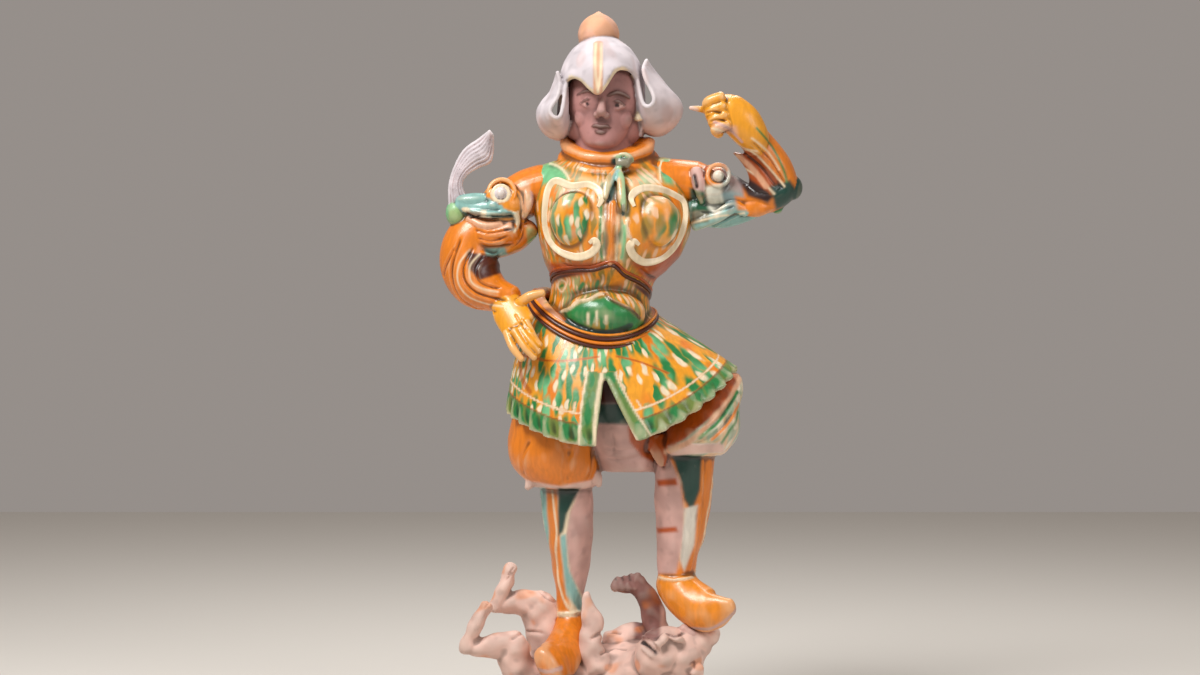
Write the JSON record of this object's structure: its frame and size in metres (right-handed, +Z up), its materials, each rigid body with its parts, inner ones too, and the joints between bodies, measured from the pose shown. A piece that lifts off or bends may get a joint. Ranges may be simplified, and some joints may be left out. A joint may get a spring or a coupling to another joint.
{
  "type": "tomb guardian figure",
  "caption": "Glazed earthenware armoured guardian with one hand on the hip and one fist raised, standing on a demon that lies on a low rock base.",
  "frame": {"origin": "centre of the flat underside of the rock base, close under the standing leg", "axes": "+Z up from the underside to the helmet's finial, the figure faces -Y, +X to the viewer's right, towards the raised arm"},
  "size_m": [0.5772, 0.2887, 1.15],
  "materials": {
    "fired_clay": "runny amber, green and cream lead glaze over a pale clay body; the head, the demon and the calves bare and cold painted"
  },
  "bodies": {
    "root": {"guardian_figure": "fired_clay"}
  },
  "joints": []
}
